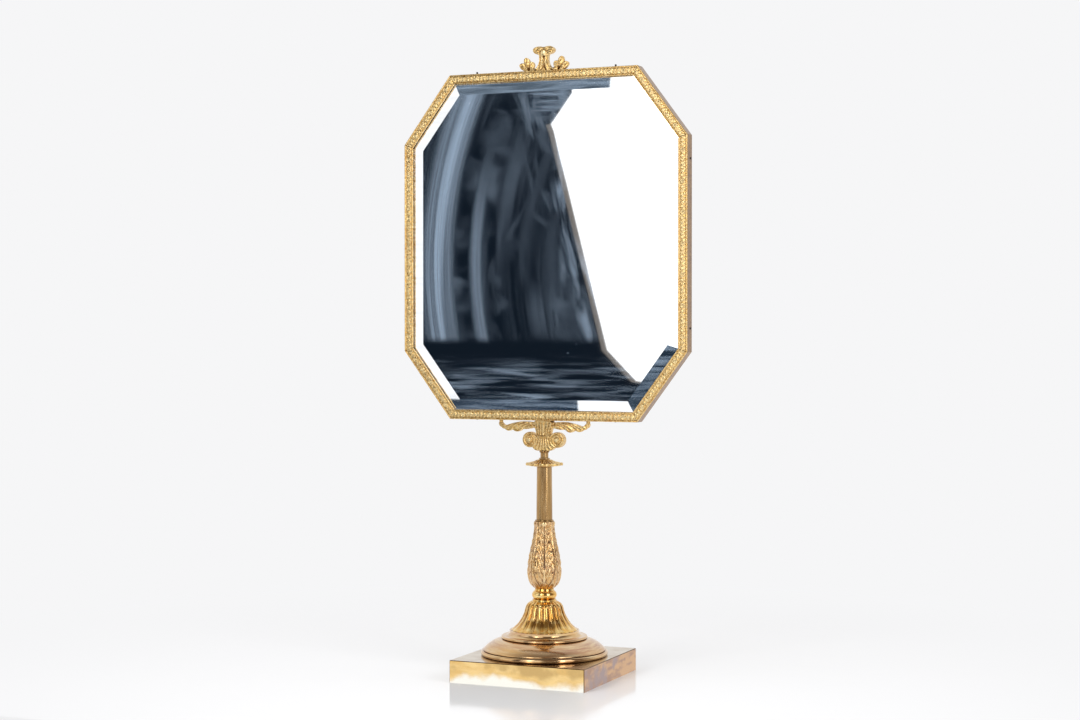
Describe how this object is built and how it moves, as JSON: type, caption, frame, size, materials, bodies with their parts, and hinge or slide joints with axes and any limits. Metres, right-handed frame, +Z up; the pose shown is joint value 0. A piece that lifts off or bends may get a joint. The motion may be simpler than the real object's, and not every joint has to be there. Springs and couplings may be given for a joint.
{
  "type": "table mirror",
  "caption": "Octagonal bevelled looking-glass in a gilt-brass frame that swivels on a leaf-cast pedestal with a domed foot and a square plinth.",
  "frame": {"origin": "centre of the plinth's underside, on the swivel axis", "axes": "+Z up along the swivel axis, which is the longest extent; the glass faces -Y; +X is to the right seen from the front"},
  "size_m": [0.2904, 0.135, 0.5957],
  "materials": {
    "matt_gilt": "matt gilt, stippled, dark in the hollows",
    "burnished_gilt": "burnished gilt",
    "worn_gilt": "burnished gilt worn to copper-coloured brass",
    "aged_brass": "polished brass, browned with age",
    "dark_steel": "blackened steel",
    "mirror": "silvered plate glass with a ground bevel",
    "card": "plain grey-brown card",
    "board": "stained oak"
  },
  "bodies": {
    "stand": {"plinth": "worn_gilt", "foot_dome": "worn_gilt", "fluted_bell": "burnished_gilt", "knop": "burnished_gilt", "leaf_baluster": "matt_gilt", "column_tube": "aged_brass", "leaf_collar": "matt_gilt", "socket_bush": "aged_brass", "tie_rod": "dark_steel", "tie_washer": "dark_steel", "tie_nut": "dark_steel"},
    "mirror_head": {"swivel_pin": "aged_brass", "volute_capital": "matt_gilt", "wing_bracket": "matt_gilt", "wing_studs": "matt_gilt", "bracket_screws": "dark_steel", "rim_band": "aged_brass", "mirror_glass": "mirror", "packing_card": "card", "backing_board": "board", "rim_pins": "dark_steel", "crest": "matt_gilt", "crest_screws": "dark_steel", "strip_upper_right": "matt_gilt", "strip_right": "matt_gilt", "strip_lower_right": "matt_gilt", "strip_bottom": "matt_gilt", "strip_lower_left": "matt_gilt", "strip_left": "matt_gilt", "strip_upper_left": "matt_gilt", "strip_top": "matt_gilt"}
  },
  "joints": [
    {"name": "mirror_swivel", "type": "hinge", "parent": "stand", "child": "mirror_head", "pos_m": [0, 0, 0.2], "axis": [0, 0, 1], "continuous": true}
  ]
}
